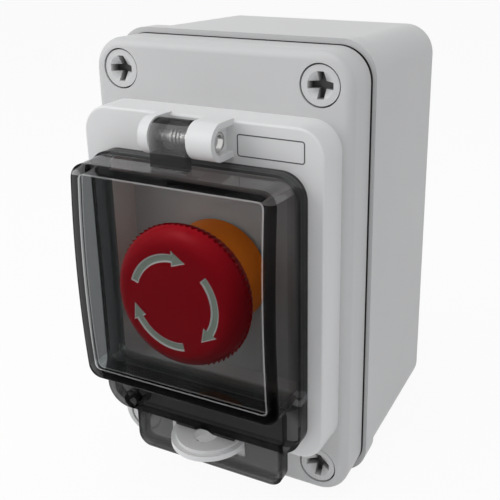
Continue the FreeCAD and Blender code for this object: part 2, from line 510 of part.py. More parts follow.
# Button body: gasket, coloured collar, and the threaded barrel that a ring nut pulls against the lid
HALF_BARREL, HALF_COLLAR, HALF_STEM = "(barrel_dia / 2)", "(collar_dia / 2)", "(stem_dia / 2)"
COLLAR_BACK, COLLAR_FRONT = "(box_depth + button_gasket_depth)", f"({PANEL_FRONT} + collar_out)"
BARREL_BACK, BARREL_FRONT = f"({LID_INSIDE} - barrel_tail)", f"({PANEL_FRONT} + barrel_out)"
HEAD_BACK = f"({BARREL_FRONT} - barrel_head_depth)"
HEAD_ROOM = "(barrel_head_dia / 2 + slide)"
SHOULDER = f"({BARREL_BACK} + barrel_shoulder)"
GASKET_BORE = f"{HALF_BARREL} + slide"
HALF_GASKET = "(button_gasket_dia / 2)"
turned("button_gasket", [(GASKET_BORE, "box_depth"), (HALF_GASKET, "box_depth"), (HALF_GASKET, COLLAR_BACK),
                         (GASKET_BORE, COLLAR_BACK)], "button_rise")
turned("button_collar", [(f"{HALF_BARREL} + running", COLLAR_BACK), (HALF_COLLAR, COLLAR_BACK),
                         (f"{HALF_COLLAR} - collar_taper", COLLAR_FRONT), (HEAD_ROOM, COLLAR_FRONT),
                         (HEAD_ROOM, HEAD_BACK), (f"{HALF_BARREL} + running", HEAD_BACK)], "button_rise")
turned("button_barrel", [(f"{HALF_STEM} + slide", BARREL_BACK), (HALF_BARREL, BARREL_BACK),
                         (HALF_BARREL, HEAD_BACK), ("barrel_head_dia / 2", HEAD_BACK),
                         ("barrel_head_dia / 2", BARREL_FRONT), ("barrel_bore / 2", BARREL_FRONT),
                         ("barrel_bore / 2", SHOULDER), (f"{HALF_STEM} + slide", SHOULDER)], "button_rise")
NUT_SIDES = 12
NUT_BACK = f"({LID_INSIDE} - nut_depth)"
nut_blank = doc.addObject("Part::Prism", "nut_blank")
nut_blank.Polygon = NUT_SIDES
bind(nut_blank, Circumradius="nut_dia / 2", Height="nut_depth")
place(nut_blank, depth=NUT_BACK, z="button_rise", rotation=TO_FRONT)
nut_bore = rod("nut_bore", "barrel_dia + 2 * running", (NUT_BACK, LID_INSIDE), z="button_rise")
cut("lock_nut", nut_blank, nut_bore)

# Red mushroom cap: flat crown, rounded edge, a skirt that narrows to the back, and a hub on the stem
HALF_CAP, HALF_CAVITY, HALF_HUB = "(cap_dia / 2)", "(cap_cavity_dia / 2)", "(hub_dia / 2)"
CROWN = f"({DOME_FRONT} - window_thickness - cap_gap)"
CAP_GRIP, CAP_ROOF, CAP_BACK = f"({CROWN} - cap_grip)", f"({CROWN} - cap_roof)", f"({CROWN} - cap_depth)"
STEM_FRONT = f"({CROWN} - stem_roof)"
HUB_BORE = f"({HALF_STEM} + running)"
HUB_FLOOR = f"({STEM_FRONT} + slide)"
cap_blank = turned("cap_blank", [
    ("0", HUB_FLOOR), ("0", CROWN), (HALF_CAP, CROWN), (HALF_CAP, CAP_GRIP),
    ("cap_skirt_dia / 2", CAP_BACK), (HALF_CAVITY, CAP_BACK), (HALF_CAVITY, CAP_ROOF), (HALF_HUB, CAP_ROOF),
    (HALF_HUB, CAP_BACK), (HUB_BORE, CAP_BACK), (HUB_BORE, HUB_FLOOR)], "button_rise")
round_front(cap_blank, CROWN, "cap_round")
ARROW_COUNT = 3


def arrows(name, thickness):
    """Clockwise arrows on one circle, let into the crown: flat solids that stand on the groove's floor."""
    middle, half, barb = size("arrow_radius"), size("arrow_width / 2"), size("arrow_head_width / 2")

    def spot(radius, degrees):
        return Vector(radius * math.cos(math.radians(degrees)), 0, radius * math.sin(math.radians(degrees)))

    def curve(radius, first, last):
        return Part.Arc(spot(radius, first), spot(radius, (first + last) / 2), spot(radius, last)).toShape()

    solids = []
    for number in range(ARROW_COUNT):
        tail = size("arrow_start") - number * 360 / ARROW_COUNT
        neck = tail - size("arrow_sweep")
        tip = spot(middle, neck - size("arrow_head_sweep"))
        outline = [curve(middle + half, tail, neck),
                   Part.makeLine(spot(middle + half, neck), spot(middle + barb, neck)),
                   Part.makeLine(spot(middle + barb, neck), tip),
                   Part.makeLine(tip, spot(middle - barb, neck)),
                   Part.makeLine(spot(middle - barb, neck), spot(middle - half, neck)),
                   curve(middle - half, neck, tail),
                   Part.makeLine(spot(middle - half, tail), spot(middle + half, tail))]
        solids.append(Part.Face(Part.Wire(outline)).extrude(Vector(0, -size(thickness), 0)))
    thing = doc.addObject("Part::Feature", name)
    thing.Shape = Part.makeCompound(solids)
    return place(thing, depth=f"{CROWN} - arrow_groove", z="button_rise")


cut("button_cap", cap_blank, arrows("arrow_grooves", "arrow_groove"))
arrows("arrow_inlays", "arrow_fill")

# Stem: a rod that carries the cap, a guide that the return spring pushes on, and a rear pusher
GUIDE_FRONT = f"({BARREL_FRONT} - guide_inset)"
GUIDE_BACK = f"({GUIDE_FRONT} - guide_depth)"
HALF_GUIDE = "(barrel_bore / 2 - slide)"
CARRIER_FRONT = f"({NUT_BACK} - carrier_gap)"
CARRIER_BACK = f"({CARRIER_FRONT} - carrier_depth)"
PUSHER_BACK = f"({CARRIER_BACK} + push_travel + slide + push_gap)"
PUSHER_FRONT = f"({PUSHER_BACK} + pusher_depth)"
turned("button_stem", [
    ("0", PUSHER_BACK), ("pusher_dia / 2", PUSHER_BACK), ("pusher_dia / 2", PUSHER_FRONT),
    (HALF_STEM, PUSHER_FRONT), (HALF_STEM, GUIDE_BACK), (HALF_GUIDE, GUIDE_BACK),
    (HALF_GUIDE, GUIDE_FRONT), (HALF_STEM, GUIDE_FRONT), (HALF_STEM, STEM_FRONT), ("0", STEM_FRONT)],
    "button_rise")
return_spring = coil("return_spring", f"{HALF_GUIDE} - return_wire / 2", "return_wire", "return_turns",
                     f"{GUIDE_BACK} - {SHOULDER}")
place(return_spring, depth=f"{SHOULDER} + return_wire / 2", z="button_rise", rotation=TO_FRONT)

# Contact carrier round the barrel's tail
CARRIER_HEIGHTS = centred("button_rise", "carrier_height")
CARRIER_DEPTHS = (CARRIER_BACK, CARRIER_FRONT)
carrier = block("carrier_block", centred("0", "carrier_width"), CARRIER_DEPTHS, CARRIER_HEIGHTS)
carrier_bore = rod("carrier_bore", "barrel_dia + 2 * running", CARRIER_DEPTHS, z="button_rise")
cut("contact_carrier", carrier, carrier_bore)

# Two contact housings behind it: in each a plunger, the bridge it carries, a spring and two terminals
BLOCK_BACK = f"({CARRIER_BACK} - block_depth)"
BLOCK_DEPTHS = (BLOCK_BACK, CARRIER_BACK)
BLOCK_INSIDE = f"({BLOCK_BACK} + block_wall)"
HOLLOW_DEPTHS = (BLOCK_INSIDE, f"{CARRIER_BACK} - block_wall")
WINDOW_DEPTHS = (HOLLOW_DEPTHS[1], CARRIER_BACK)
HOLLOW_HEIGHTS = centred("button_rise", "carrier_height - 2 * block_wall")
PLUNGER_BACK = f"({CARRIER_BACK} - plunger_reach)"
PLUNGER_DEPTHS = (PLUNGER_BACK, f"{PUSHER_BACK} - push_gap")
BRIDGE_BACK = f"({PLUNGER_BACK} - bridge_thickness)"
TERMINAL_BACK = f"({PLUNGER_BACK} + push_gap)"
TERMINAL_DEPTHS = (TERMINAL_BACK, f"{TERMINAL_BACK} + terminal_thickness")
TERMINAL_HEAD = (BLOCK_INSIDE, f"{BLOCK_INSIDE} + terminal_head_depth")
TERMINAL_SHANK = (TERMINAL_HEAD[1], TERMINAL_DEPTHS[0])
plungers, bridges, coils, terminals, terminal_screws = [], [], [], [], []
for side, x in (("left", "-block_pitch / 2"), ("right", "block_pitch / 2")):
    housing = block(f"housing_{side}", centred(x, "block_width"), BLOCK_DEPTHS, CARRIER_HEIGHTS)
    hollow = block(f"hollow_{side}", centred(x, "block_width - 2 * block_wall"), HOLLOW_DEPTHS,
                   HOLLOW_HEIGHTS)
    window = block(f"window_{side}", centred(x, "plunger_width + 2 * slide"), WINDOW_DEPTHS,
                   centred("button_rise", "plunger_height + 2 * slide"))
    plungers.append(block(f"plunger_{side}", centred(x, "plunger_width"), PLUNGER_DEPTHS,
                          centred("button_rise", "plunger_height")))
    bridges.append(block(f"bridge_{side}", centred(x, "bridge_width"), (BRIDGE_BACK, PLUNGER_BACK),
                         centred("button_rise", "bridge_length")))
    spring = coil(f"contact_coil_{side}", "(contact_spring_dia - contact_wire) / 2", "contact_wire",
                  "contact_turns", f"{BRIDGE_BACK} - {BLOCK_INSIDE}")
    coils.append(place(spring, x, f"{BLOCK_INSIDE} + contact_wire / 2", "button_rise", TO_FRONT))
    driver_holes = []
    for end, k in (("low", -1), ("high", 1)):
        name = f"{side}_{end}"
        plate_middle = f"button_rise + {k} * (carrier_height / 2 - block_wall - terminal_length / 2)"
        terminals.append(block(f"terminal_{name}", centred(x, "terminal_width"), TERMINAL_DEPTHS,
                               centred(plate_middle, "terminal_length")))
        spot = (x, f"button_rise + {k} * (carrier_height / 2 - terminal_screw_inset)")
        head = rod(f"terminal_head_{name}", "terminal_head_dia", TERMINAL_HEAD, *spot)
        shank = rod(f"terminal_shank_{name}", "terminal_screw_dia", TERMINAL_SHANK, *spot)
        terminal_screws.append(fuse(f"terminal_screw_{name}", head, shank))
        driver_hole = rod(f"driver_hole_{name}", "terminal_screw_dia", (BLOCK_BACK, BLOCK_INSIDE), *spot)
        driver_holes.append(driver_hole)
    cut(f"contact_block_{side}", housing, hollow, window, *driver_holes)
group("contact_plungers", plungers)
group("contact_bridges", bridges)
group("contact_springs", coils)
group("terminals", terminals)
group("terminal_screws", terminal_screws)
doc.recompute()

# Check every object, then write one file for each sub-part
NODES = ["base_box", "lid_gasket", "lid", "lid_screws", "front_panel", "panel_seal", "cover_seal",
         "panel_screws", "hinge_pin", "hinge_spring", "flip_cover", "button_gasket", "button_collar",
         "button_barrel", "lock_nut", "button_cap", "arrow_inlays", "button_stem", "return_spring",
         "contact_carrier", "contact_block_left", "contact_block_right", "contact_plungers",
         "contact_bridges", "contact_springs", "terminals", "terminal_screws"]
for item in doc.Objects:
    if "Invalid" in item.State or "Error" in item.State:
        raise RuntimeError(f"{item.Name} did not rebuild: {item.State}")
for node in NODES:
    shape = doc.getObject(node).Shape
    if shape.isNull() or not shape.isValid() or not shape.Solids:
        raise RuntimeError(f"{node} is not a sound solid")
for node in NODES:
    doc.getObject(node).Label = node
    doc.getObject(node).Shape.exportStep(f"parts/{node}.step")
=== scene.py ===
import bmesh
import bpy
import math
from mathutils import Matrix, Vector


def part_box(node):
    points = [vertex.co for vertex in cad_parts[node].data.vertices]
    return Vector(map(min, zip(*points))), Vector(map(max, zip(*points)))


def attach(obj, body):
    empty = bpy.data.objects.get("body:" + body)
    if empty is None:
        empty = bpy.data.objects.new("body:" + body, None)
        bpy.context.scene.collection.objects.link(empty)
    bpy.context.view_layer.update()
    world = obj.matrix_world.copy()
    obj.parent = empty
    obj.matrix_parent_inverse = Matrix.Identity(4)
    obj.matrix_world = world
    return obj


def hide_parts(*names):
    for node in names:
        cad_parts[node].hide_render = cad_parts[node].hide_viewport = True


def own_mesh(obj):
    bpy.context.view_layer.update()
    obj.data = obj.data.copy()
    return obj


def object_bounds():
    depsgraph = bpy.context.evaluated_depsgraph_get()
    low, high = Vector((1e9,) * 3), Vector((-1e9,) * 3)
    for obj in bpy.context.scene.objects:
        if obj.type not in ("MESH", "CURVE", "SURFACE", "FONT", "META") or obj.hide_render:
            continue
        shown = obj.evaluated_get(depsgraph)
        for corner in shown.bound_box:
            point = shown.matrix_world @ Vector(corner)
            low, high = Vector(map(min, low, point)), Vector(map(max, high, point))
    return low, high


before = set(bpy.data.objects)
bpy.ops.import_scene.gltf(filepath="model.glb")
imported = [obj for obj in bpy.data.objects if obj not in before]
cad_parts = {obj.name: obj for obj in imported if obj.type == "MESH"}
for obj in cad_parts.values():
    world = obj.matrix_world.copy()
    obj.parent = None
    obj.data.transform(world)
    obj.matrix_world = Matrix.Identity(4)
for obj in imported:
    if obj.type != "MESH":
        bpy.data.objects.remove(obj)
solids_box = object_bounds()

# The studio: a pale table under the box, a white surround, and soft lamps on the upper left, the right
# and above. The camera stands to the right of the box and a little above it.
scene = bpy.context.scene
scene.view_settings.view_transform = "Standard"


def seen_white(tree, lit, strength):
    """The lit shader, made plain white for the rays that look at it from the camera, mirrors and glass."""
    path = tree.nodes.new("ShaderNodeLightPath")
    seen = path.outputs["Is Camera Ray"]
    for kind in ("Is Glossy Ray", "Is Transmission Ray"):
        either = tree.nodes.new("ShaderNodeMath")
        either.operation = "MAXIMUM"
        tree.links.new(seen, either.inputs[0])
        tree.links.new(path.outputs[kind], either.inputs[1])
        seen = either.outputs[0]
    share = tree.nodes.new("ShaderNodeMath")
    share.operation = "MULTIPLY"
    share.inputs[1].default_value = strength
    white = tree.nodes.new("ShaderNodeEmission")
    mixed = tree.nodes.new("ShaderNodeMixShader")
    tree.links.new(seen, share.inputs[0])
    tree.links.new(share.outputs[0], mixed.inputs[0])
    tree.links.new(lit, mixed.inputs[1])
    tree.links.new(white.outputs[0], mixed.inputs[2])
    return mixed.outputs[0]


surround = bpy.data.worlds.new("surround")
scene.world = surround
surround.use_nodes = True
sky = surround.node_tree.nodes["Background"]
sky.inputs["Color"].default_value = (0.95, 0.97, 1.0, 1)
sky.inputs["Strength"].default_value = 0.36
surround.node_tree.links.new(seen_white(surround.node_tree, sky.outputs[0], 1.0),
                             surround.node_tree.nodes["World Output"].inputs["Surface"])

table_reach, table_gap, table_white = 4, 0.0005, 0.93
table_top = bmesh.new()
bmesh.ops.create_grid(table_top, x_segments=1, y_segments=1, size=table_reach)
bmesh.ops.translate(table_top, verts=table_top.verts, vec=(0, 0, solids_box[0].z - table_gap))
table_mesh = bpy.data.meshes.new("table_top")
table_top.to_mesh(table_mesh)
table = bpy.data.objects.new("table_top", table_mesh)
scene.collection.objects.link(table)
table_paint = bpy.data.materials.new("pale_table")
table_paint.use_nodes = True
table_shader = table_paint.node_tree.nodes["Principled BSDF"]
table_shader.inputs["Base Color"].default_value = (0.85, 0.85, 0.85, 1)
table_shader.inputs["Roughness"].default_value = 0.9
table_paint.node_tree.links.new(seen_white(table_paint.node_tree, table_shader.outputs[0], table_white),
                                table_paint.node_tree.nodes["Material Output"].inputs["Surface"])
table.data.materials.append(table_paint)

lamp_aim = Vector((0, -0.05, 0))
for lamp_name, spot, width, power in (("key_upper_left", (-0.36, -0.38, 0.26), 0.42, 1.32),
                                      ("fill_right", (0.95, -0.45, 0.25), 0.7, 1.5),
                                      ("top", (0.0, -0.28, 1.05), 0.8, 4.0)):
    lamp = bpy.data.lights.new(lamp_name, "AREA")
    lamp.size = width
    lamp.energy = power
    holder = bpy.data.objects.new(lamp_name, lamp)
    holder.location = spot
    holder.rotation_euler = (lamp_aim - Vector(spot)).to_track_quat("-Z", "Y").to_euler()
    scene.collection.objects.link(holder)

lens = bpy.data.cameras.new("camera")
lens.sensor_width = 36
lens.lens = 52.73
lens.shift_x = -0.15
lens.shift_y = -0.145
lens.clip_start = 0.01
camera = bpy.data.objects.new("camera", lens)
camera_spot = (0.1026, -0.2290, 0.0871)
camera_swing, camera_dip, camera_roll = 23.63, 17.29, 0.52
camera.matrix_world = (Matrix.Translation(camera_spot)
                       @ Matrix.Rotation(math.radians(camera_swing), 4, "Z")
                       @ Matrix.Rotation(math.radians(90 - camera_dip), 4, "X")
                       @ Matrix.Rotation(math.radians(camera_roll), 4, "Z"))
scene.collection.objects.link(camera)
scene.camera = camera


# Rear half of the box: light grey moulded thermoplastic with the fine texture of its mould, screwed to the
# wall through its floor. Painted shade darkens the seam at its open front, where little light gets into it.
def moulded(name, pale, deep, roughness, grain, relief, gloss=0.35):
    """A moulded plastic: two close tones in soft clouds, a fine grain, and a sheen that varies a little."""
    finish = bpy.data.materials.new(name)
    finish.use_nodes = True
    tree = finish.node_tree
    shader = tree.nodes["Principled BSDF"]
    shader.inputs["Specular IOR Level"].default_value = gloss
    where = tree.nodes.new("ShaderNodeTexCoord")
    clouds = tree.nodes.new("ShaderNodeTexNoise")
    clouds.inputs["Scale"].default_value = 38
    clouds.inputs["Detail"].default_value = 4
    tone = tree.nodes.new("ShaderNodeMix")
    tone.data_type = "RGBA"
    tone.inputs["A"].default_value = (*deep, 1)
    tone.inputs["B"].default_value = (*pale, 1)
    spark = tree.nodes.new("ShaderNodeTexNoise")
    spark.inputs["Scale"].default_value = 1 / grain
    spark.inputs["Detail"].default_value = 3
    sheen = tree.nodes.new("ShaderNodeMapRange")
    sheen.inputs["To Min"].default_value = roughness - 0.05
    sheen.inputs["To Max"].default_value = roughness + 0.07
    bump = tree.nodes.new("ShaderNodeBump")
    bump.inputs["Strength"].default_value = 0.35
    bump.inputs["Distance"].default_value = relief
    for texture in (clouds, spark):
        tree.links.new(where.outputs["Object"], texture.inputs["Vector"])
    tree.links.new(clouds.outputs["Fac"], tone.inputs["Factor"])
    tree.links.new(tone.outputs["Result"], shader.inputs["Base Color"])
    tree.links.new(spark.outputs["Fac"], sheen.inputs["Value"])
    tree.links.new(sheen.outputs["Result"], shader.inputs["Roughness"])
    tree.links.new(spark.outputs["Fac"], bump.inputs["Height"])
    tree.links.new(bump.outputs["Normal"], shader.inputs["Normal"])
    return finish


def dress(node, finish):
    """Gives a solid of the frame its finish."""
    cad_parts[node].material_slots[0].material = finish


def worked_out(tree, operation, *inputs):
    """A Math node of the tree, from sockets and numbers."""
    node = tree.nodes.new("ShaderNodeMath")
    node.operation = operation
    for socket, value in zip(node.inputs, inputs):
        if isinstance(value, bpy.types.NodeSocket):
            tree.links.new(value, socket)
        else:
            socket.default_value = value
    return node.outputs[0]


def placed(tree):
    """Across, outward and upward in a finish's own frame."""
    parts = tree.nodes.new("ShaderNodeSeparateXYZ")
    tree.links.new(tree.nodes.new("ShaderNodeTexCoord").outputs["Object"], parts.inputs[0])
    return parts.outputs


def from_outline(tree, middle, reach, corner):
    """How far out a place is past the straight core of a rounded outline: its corner radius, on the edge."""
    place = tree.nodes.new("ShaderNodeTexCoord").outputs["Object"]
    core = (reach[0] - corner, 1, reach[1] - corner)
    for operation, step in (("SUBTRACT", (middle[0], 0, middle[1])), ("ABSOLUTE", None), ("SUBTRACT", core),
                            ("MAXIMUM", (0, 0, 0)), ("LENGTH", None)):
        node = tree.nodes.new("ShaderNodeVectorMath")
        node.operation = operation
        tree.links.new(place, node.inputs[0])
        if step:
            node.inputs[1].default_value = step
        place = node.outputs["Value" if operation == "LENGTH" else "Vector"]
    return place


def paint_shade_over(finish, share, shade_colour):
    """Lays painted shade over a moulded finish, by a share that its own nodes give."""
    tree = finish.node_tree
    colour = tree.nodes["Principled BSDF"].inputs["Base Color"]
    layer = tree.nodes.new("ShaderNodeMix")
    layer.data_type = "RGBA"
    tree.links.new(colour.links[0].from_socket, layer.inputs["A"])
    layer.inputs["B"].default_value = (*shade_colour, 1)
    tree.links.new(share, layer.inputs["Factor"])
    tree.links.new(layer.outputs["Result"], colour)


shell_grey = moulded("shell_grey", pale=(0.60, 0.60, 0.60), deep=(0.56, 0.56, 0.56), roughness=0.40,
                     grain=0.0006, relief=0.00003)
shell_tree = shell_grey.node_tree
seam_front, seam_back = (corner.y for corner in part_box("lid_gasket"))
seam_depth, seam_half = (seam_front + seam_back) / 2, 0.6 * (seam_back - seam_front)
seam_room = 0.0002
lid_middle, lid_far_corner, lid_round = (0, 0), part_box("lid")[1], 0.009
lid_edge = from_outline(shell_tree, lid_middle, (lid_far_corner.x, lid_far_corner.z), lid_round)
# Painted shade: the seam round the open front is darkened in the grey's colour.
painted_seam_shade = worked_out(shell_tree, "MULTIPLY",
                     worked_out(shell_tree, "COMPARE", placed(shell_tree)[1], seam_depth, seam_half),
                     worked_out(shell_tree, "LESS_THAN", lid_edge, lid_round + seam_room))
paint_shade_over(shell_grey, painted_seam_shade, (0.03, 0.03, 0.03))
dress("base_box", shell_grey)

# Sealing cord in the seam between the two halves: soft black rubber, laid round the open front of the
# rear half and pressed flat by the lid.
seal_black = moulded("seal_black", pale=(0.028, 0.028, 0.029), deep=(0.018, 0.018, 0.019), roughness=0.62,
                     grain=0.0008, relief=0.00004)
dress("lid_gasket", seal_black)

# Front half of the box: the same grey plastic as the rear half, moulded as one shallow piece. Each of its
# corners has a counterbore for the screw that holds it.
dress("lid", shell_grey)

# Four lid screws, moulded in a slightly lighter plastic and screwed into the rear half. Each has a deep
# cross for a large driver, and painted shade darkens the cross towards its floor.
screw_grey = moulded("screw_grey", pale=(0.64, 0.64, 0.64), deep=(0.58, 0.58, 0.58), roughness=0.38,
                     grain=0.0005, relief=0.00003)
screw_tree = screw_grey.node_tree
screw_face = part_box("lid_screws")[0].y
# Painted shade in the cross, darker towards its floor.
shade_start, shade_end, cross_depth = 0.0003, 0.0036, 0.0037
below_face = worked_out(screw_tree, "SUBTRACT", placed(screw_tree)[1], screw_face)
in_cross = screw_tree.nodes.new("ShaderNodeMapRange")
in_cross.inputs["From Min"].default_value = shade_start
in_cross.inputs["From Max"].default_value = shade_end
screw_tree.links.new(below_face, in_cross.inputs["Value"])
in_head = worked_out(screw_tree, "LESS_THAN", below_face, cross_depth)
in_shade = worked_out(screw_tree, "MULTIPLY", in_cross.outputs["Result"], in_head)
paint_shade_over(screw_grey, in_shade, (0.04, 0.04, 0.04))
dress("lid_screws", screw_grey)

# Raised front frame with the hinge knuckles and the padlock lug: near-white plastic with a soft sheen,
# moulded in one piece and screwed on from inside the lid over its own black seal. A soft grey seal lies
# under the flange of the cover.
frame_white = moulded("frame_white", pale=(0.75, 0.75, 0.75), deep=(0.71, 0.71, 0.71), roughness=0.36,
                      grain=0.0006, relief=0.00001)
seal_grey = moulded("seal_grey", pale=(0.50, 0.50, 0.50), deep=(0.46, 0.46, 0.46), roughness=0.6,
                    grain=0.0008, relief=0.00004)
dress("front_panel", frame_white)
dress("panel_seal", seal_black)
dress("cover_seal", seal_grey)

# Printed outline of the plate on the frame, right of the hinge: one thin line of dark grey ink with round
# corners, printed on the finished moulding.
plate_low, plate_high = Vector((0.0120, 0, 0.0377)), Vector((0.0307, 0, 0.0435))
plate_corner, ink_width, ink_height = 0.0008, 0.0003, 0.00004
plate_size = plate_high - plate_low
frame_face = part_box("cover_seal")[0].y
plate_ink = moulded("plate_ink", pale=(0.10, 0.10, 0.10), deep=(0.06, 0.06, 0.06), roughness=0.5,
                    grain=0.0004, relief=0.00001)
plate = bmesh.new()
bmesh.ops.create_grid(plate, x_segments=1, y_segments=1, size=0.5)
bmesh.ops.rotate(plate, verts=plate.verts, cent=(0, 0, 0), matrix=Matrix.Rotation(math.radians(90), 3, "X"))
bmesh.ops.scale(plate, verts=plate.verts, vec=(plate_size.x, 1, plate_size.z))
bmesh.ops.translate(plate, verts=plate.verts, vec=(plate_low + plate_high) / 2)
bmesh.ops.bevel(plate, geom=plate.verts[:], offset=plate_corner, segments=5, profile=0.5,
                affect="VERTICES", material=-1)
inside = plate.faces[:]
bmesh.ops.inset_individual(plate, faces=inside, thickness=ink_width)
bmesh.ops.delete(plate, geom=inside, context="FACES")
bmesh.ops.recalc_face_normals(plate, faces=plate.faces)
ink = bmesh.ops.extrude_face_region(plate, geom=plate.faces[:])
bmesh.ops.translate(plate, verts=[part for part in ink["geom"] if isinstance(part, bmesh.types.BMVert)],
                    vec=(0, -ink_height, 0))
bmesh.ops.translate(plate, verts=plate.verts, vec=(0, frame_face, 0))
bmesh.ops.recalc_face_normals(plate, faces=plate.faces)
plate_mesh = bpy.data.meshes.new("plate_border")
plate.to_mesh(plate_mesh)
plate_border = bpy.data.objects.new("plate_border", plate_mesh)
scene.collection.objects.link(plate_border)
plate_border.data.materials.append(plate_ink)
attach(plate_border, "enclosure")


# Screws of the frame, hinge pin and hinge spring: bright steel, turned or drawn, with fine marks left by
# the work. The pin is plated. It goes through both knuckles, and the spring is coiled round it.
def drawn(name, tone, roughness):
    """A bright metal with fine drawn marks."""
    finish = bpy.data.materials.new(name)
    finish.use_nodes = True
    tree = finish.node_tree
    shader = tree.nodes["Principled BSDF"]
    shader.inputs["Metallic"].default_value = 1
    where = tree.nodes.new("ShaderNodeTexCoord")
    marks = tree.nodes.new("ShaderNodeTexNoise")
    marks.inputs["Scale"].default_value = 900
    marks.inputs["Detail"].default_value = 2
    shade = tree.nodes.new("ShaderNodeMix")
    shade.data_type = "RGBA"
    shade.inputs["A"].default_value = (*(0.8 * part for part in tone), 1)
    shade.inputs["B"].default_value = (*tone, 1)
    polish = tree.nodes.new("ShaderNodeMapRange")
    polish.inputs["To Min"].default_value = roughness - 0.06
    polish.inputs["To Max"].default_value = roughness + 0.08
    tree.links.new(where.outputs["Object"], marks.inputs["Vector"])
    tree.links.new(marks.outputs["Fac"], shade.inputs["Factor"])
    tree.links.new(shade.outputs["Result"], shader.inputs["Base Color"])
    tree.links.new(marks.outputs["Fac"], polish.inputs["Value"])
    tree.links.new(polish.outputs["Result"], shader.inputs["Roughness"])
    return finish


bright_steel = drawn("bright_steel", tone=(0.62, 0.62, 0.61), roughness=0.24)
plated_steel = drawn("plated_steel", tone=(0.86, 0.86, 0.85), roughness=0.16)
dress("panel_screws", bright_steel)
dress("hinge_spring", bright_steel)
dress("hinge_pin", plated_steel)

# Hinged cover: one moulding in smoked polycarbonate, which its spring shuts on the frame. Its window and
# thin walls let light through, and its edges look darker, because light runs along the wall in them. So the
# tint goes by the place on the cover: painted shade darkens its rim, flange edge, arm's web and end, apron
# hem, lip and boss, and a painted highlight draws a thin light line just inside the rim.
smoked = bpy.data.materials.new("smoked_polycarbonate")
smoked.use_nodes = True
smoked_tree = smoked.node_tree
smoked_shader = smoked_tree.nodes["Principled BSDF"]
smoked_shader.inputs["IOR"].default_value = 1.08
smoked_shader.inputs["Specular Tint"].default_value = (0.03, 0.03, 0.03, 1)
smoked_shader.inputs["Coat Roughness"].default_value = 0.05
across, outward, upward = placed(smoked_tree)


def reckoned(operation, *inputs):
    """A Math node of the cover's finish."""
    return worked_out(smoked_tree, operation, *inputs)


def over(measure, limit):
    """The places of the cover where a measure is over a limit."""
    return reckoned("GREATER_THAN", measure, limit)


def under(measure, limit):
    """The places of the cover where a measure is under a limit."""
    return reckoned("LESS_THAN", measure, limit)


def near(measure, middle, room):
    """The places of the cover where a measure is within some room of a middle value."""
    return reckoned("COMPARE", measure, middle, room)


def both(first, second):
    """The places of the cover that two sets of places share."""
    return reckoned("MULTIPLY", first, second)


def outside(places):
    """The places of the cover outside a set of places."""
    return reckoned("SUBTRACT", 1, places)


def from_axis(middle):
    """How far a place of the cover is from a round feature's axis, which points outward."""
    return from_outline(smoked_tree, middle, (0, 0), 0)


dome_front, dome_back, skin_depth = -0.0923, -0.0812, 0.0016
dome_middle, dome_bow = 0.00325, 0.3138
height = reckoned("SUBTRACT", upward, dome_middle)
bow = reckoned("MULTIPLY", height, height)
bowed_front = reckoned("MULTIPLY_ADD", bow, 1 / (2 * dome_bow), dome_front)
on_dome = under(outward, dome_back)
on_front = under(reckoned("SUBTRACT", outward, bowed_front), skin_depth)
behind_front = outside(on_front)

rim_middle, rim_reach, rim_corner = (0.0003, 0.00385), (0.0296, 0.03105), 0.0044
rim_width, glint_width = 0.0027, 0.0004
rim_edge = from_outline(smoked_tree, rim_middle, rim_reach, rim_corner)
on_rim = both(on_front, over(rim_edge, rim_corner - rim_width))
by_rim = both(on_front, over(rim_edge, rim_corner - rim_width - glint_width))
painted_light_line = reckoned("SUBTRACT", by_rim, on_rim)

roof_height, roof_half, floor_height, floor_half = 0.0334, 0.0018, -0.0256, 0.0010
on_roof = both(both(near(upward, roof_height, roof_half), on_dome), behind_front)
on_floor = both(near(upward, floor_height, floor_half), behind_front)

flange_middle, flange_reach, flange_corner, flange_rim = (0, -0.0034), (0.0316, 0.0392), 0.0071, 0.0008
flange_edge = from_outline(smoked_tree, flange_middle, flange_reach, flange_corner)
on_flange_rim = both(over(flange_edge, flange_corner - flange_rim), outside(on_dome))

top_foot, arm_foot, web_end, arm_end = 0.0316, 0.0350, 0.0388, 0.0460
arm_middle, arm_half = -0.0019, 0.0054
on_top = over(upward, top_foot)
on_arm = both(over(upward, arm_foot), near(across, arm_middle, arm_half))
on_web = both(on_arm, under(upward, web_end))
on_arm_end = both(on_arm, over(upward, arm_end))

apron_top, hem_width = -0.0427, 0.0009
apron_middle, apron_reach, apron_corner = (0, -0.0440), (0.0243, 0.0130), 0.0040
apron_edge = from_outline(smoked_tree, apron_middle, apron_reach, apron_corner)
on_apron = under(upward, apron_top)
on_hem = both(on_apron, over(apron_edge, apron_corner - hem_width))

lip_height, lip_half, lip_reach, lip_foot = -0.0453, 0.0005, 0.0096, -0.0458
arch_middle, arch_radius = (0, -0.0484), 0.0050
lip_line = both(near(upward, lip_height, lip_half), near(across, 0, lip_reach))
on_arch = under(from_axis(arch_middle), arch_radius)
on_lip = both(over(upward, lip_foot), reckoned("MAXIMUM", lip_line, on_arch))

boss_middle, boss_radius = (-0.0221, -0.0387), 0.0031
on_boss = under(from_axis(boss_middle), boss_radius)
